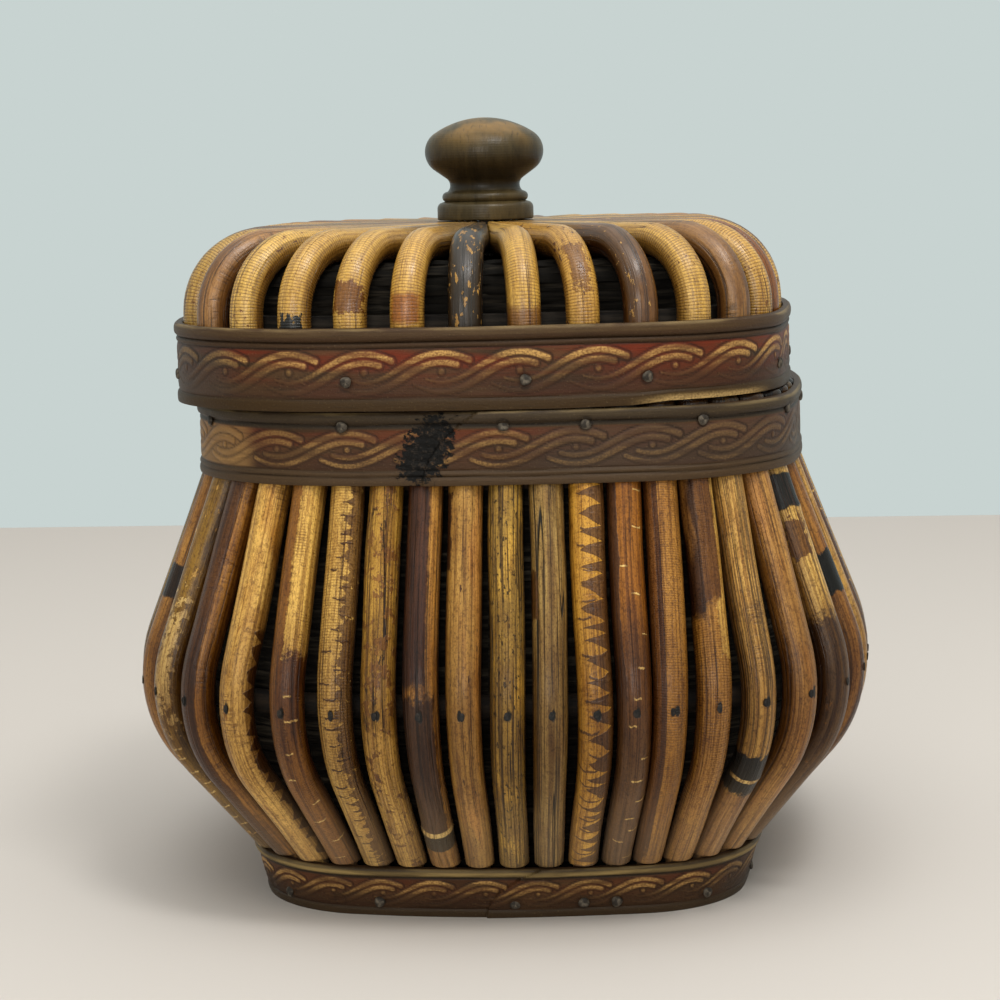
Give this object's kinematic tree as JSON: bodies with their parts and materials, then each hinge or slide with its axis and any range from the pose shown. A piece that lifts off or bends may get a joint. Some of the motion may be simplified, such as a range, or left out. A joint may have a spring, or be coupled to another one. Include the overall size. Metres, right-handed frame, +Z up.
{
  "type": "rattan canister",
  "caption": "Square big-bellied storage canister of bent scorched rattan canes, with embossed strips at foot, neck and lid, a dark woven liner and a loose lid with a turned knob.",
  "frame": {"origin": "middle of the foot, on the surface that the canister stands on", "axes": "+Z up through the knob, -Y out of the front face, +X to the right seen from the front"},
  "size_m": [0.1948, 0.1948, 0.2021],
  "materials": {
    "cane": "satin, scorched rattan",
    "lid_cane": "satin, golden rattan skin",
    "strip": "embossed, gold rubbed on the scroll",
    "nail": "dark iron",
    "hoop": "dark stained rattan",
    "liner": "near-black woven cane",
    "wood": "stained, matt",
    "knob": "dark turned wood, satin",
    "screw": "plain steel"
  },
  "bodies": {
    "body": {"base_board": "wood", "base_band": "strip", "base_nails": "nail", "belly_hoop": "hoop", "belly_brads": "nail", "inner_basket": "liner", "neck_ring": "wood", "rim_strip": "wood", "neck_band": "strip", "neck_nails": "nail", "front_canes": "cane", "right_canes": "cane", "back_canes": "cane", "left_canes": "cane", "front_right_canes": "cane", "back_right_canes": "cane", "back_left_canes": "cane", "front_left_canes": "cane"},
    "lid": {"lid_band": "strip", "lid_nails": "nail", "lid_ring": "wood", "lid_liner": "liner", "lid_boss": "wood", "knob": "knob", "knob_screw": "screw", "lid_front_canes": "lid_cane", "lid_right_canes": "lid_cane", "lid_back_canes": "lid_cane", "lid_left_canes": "lid_cane", "lid_front_right_canes": "lid_cane", "lid_back_right_canes": "lid_cane", "lid_back_left_canes": "lid_cane", "lid_front_left_canes": "lid_cane"}
  },
  "joints": [
    {"name": "lid_lift", "type": "slide", "parent": "body", "child": "lid", "axis": [0, 0, 1], "range_m": [0, 0.15]}
  ]
}
